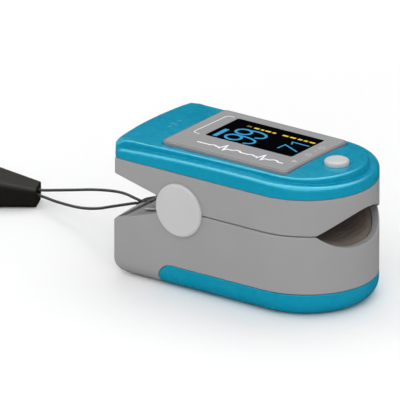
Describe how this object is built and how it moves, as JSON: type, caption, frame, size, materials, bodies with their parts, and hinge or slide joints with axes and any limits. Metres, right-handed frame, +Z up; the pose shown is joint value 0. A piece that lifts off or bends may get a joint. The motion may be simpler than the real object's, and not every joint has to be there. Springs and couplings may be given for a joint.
{
  "type": "fingertip pulse oximeter",
  "caption": "Fingertip clip sensor with a spring-hinged two-half body, display plate, push button, sliding battery cover and a cord lanyard with a tapered ferrule.",
  "frame": {"origin": "middle of the body on its flat resting face", "axes": "+X towards the finger opening in the round nose, +Y across the body, +Z up through the display"},
  "size_m": [0.1103, 0.0338, 0.0329],
  "materials": {
    "blue_shell": "glossy moulded ABS",
    "grey_shell": "satin moulded ABS",
    "plate_grey": "satin printed plate",
    "window_black": "polished smoked lens",
    "white_plastic": "fine-textured white ABS",
    "pad_rubber": "matt silicone rubber",
    "tray_black": "fine-textured black ABS",
    "steel": "drawn and ground steel",
    "nickel": "nickel-plated spring steel",
    "cell_wrap": "printed film over a steel can",
    "circuit_board": "solder-mask green",
    "chip_black": "moulded epoxy",
    "clear_lens": "clear moulded lens",
    "oled_glass": "dark display glass",
    "foam_black": "closed-cell foam",
    "flex_amber": "amber flexible circuit",
    "cord_black": "braided cord",
    "ferrule_black": "soft-gloss moulded plastic"
  },
  "bodies": {
    "lower_half": {"lower_shell": "grey_shell", "lower_pad": "pad_rubber", "detector_board": "circuit_board", "photodiode": "chip_black", "detector_window": "clear_lens", "battery_tray": "tray_black", "battery_a": "cell_wrap", "battery_b": "cell_wrap", "battery_springs": "nickel", "battery_plates": "nickel", "lower_screws": "steel", "hinge_pin": "steel", "hinge_cap_left": "white_plastic", "hinge_cap_right": "white_plastic", "torsion_spring_left": "steel", "torsion_spring_right": "steel", "ribbon_cable": "flex_amber"},
    "upper_half": {"upper_shell": "grey_shell", "upper_pad": "pad_rubber", "emitter_window": "clear_lens", "led_emitter": "chip_black", "emitter_board": "circuit_board", "main_board": "circuit_board", "board_chips": "chip_black", "upper_screws": "steel", "oled_display": "oled_glass", "display_gasket": "foam_black", "switch_body": "chip_black", "top_cover": "blue_shell", "face_plate": "plate_grey", "display_window": "window_black"},
    "button": {"power_button": "white_plastic", "switch_plunger": "chip_black"},
    "battery_door": {"battery_cover": "blue_shell"},
    "lanyard": {"lanyard_knot": "cord_black", "lanyard_cord": "cord_black", "lanyard_ferrule": "ferrule_black"}
  },
  "joints": [
    {"name": "clip_hinge", "type": "hinge", "parent": "lower_half", "child": "upper_half", "pos_m": [-0.0093, 0, 0.0191], "axis": [0, -1, 0], "range_deg": [0, 24], "deforming": ["torsion_spring_left", "torsion_spring_right", "ribbon_cable"]},
    {"name": "button_press", "type": "slide", "parent": "upper_half", "child": "button", "axis": [0, 0, -1], "range_m": [0, 0.0003]},
    {"name": "battery_door_slide", "type": "slide", "parent": "lower_half", "child": "battery_door", "axis": [1, 0, 0], "range_m": [0, 0.05]},
    {"name": "lanyard_swing", "type": "hinge", "parent": "lower_half", "child": "lanyard", "pos_m": [-0.0282, -0.0008, 0.01135], "axis": [0, 1, 0], "range_deg": [-50, 45]}
  ]
}
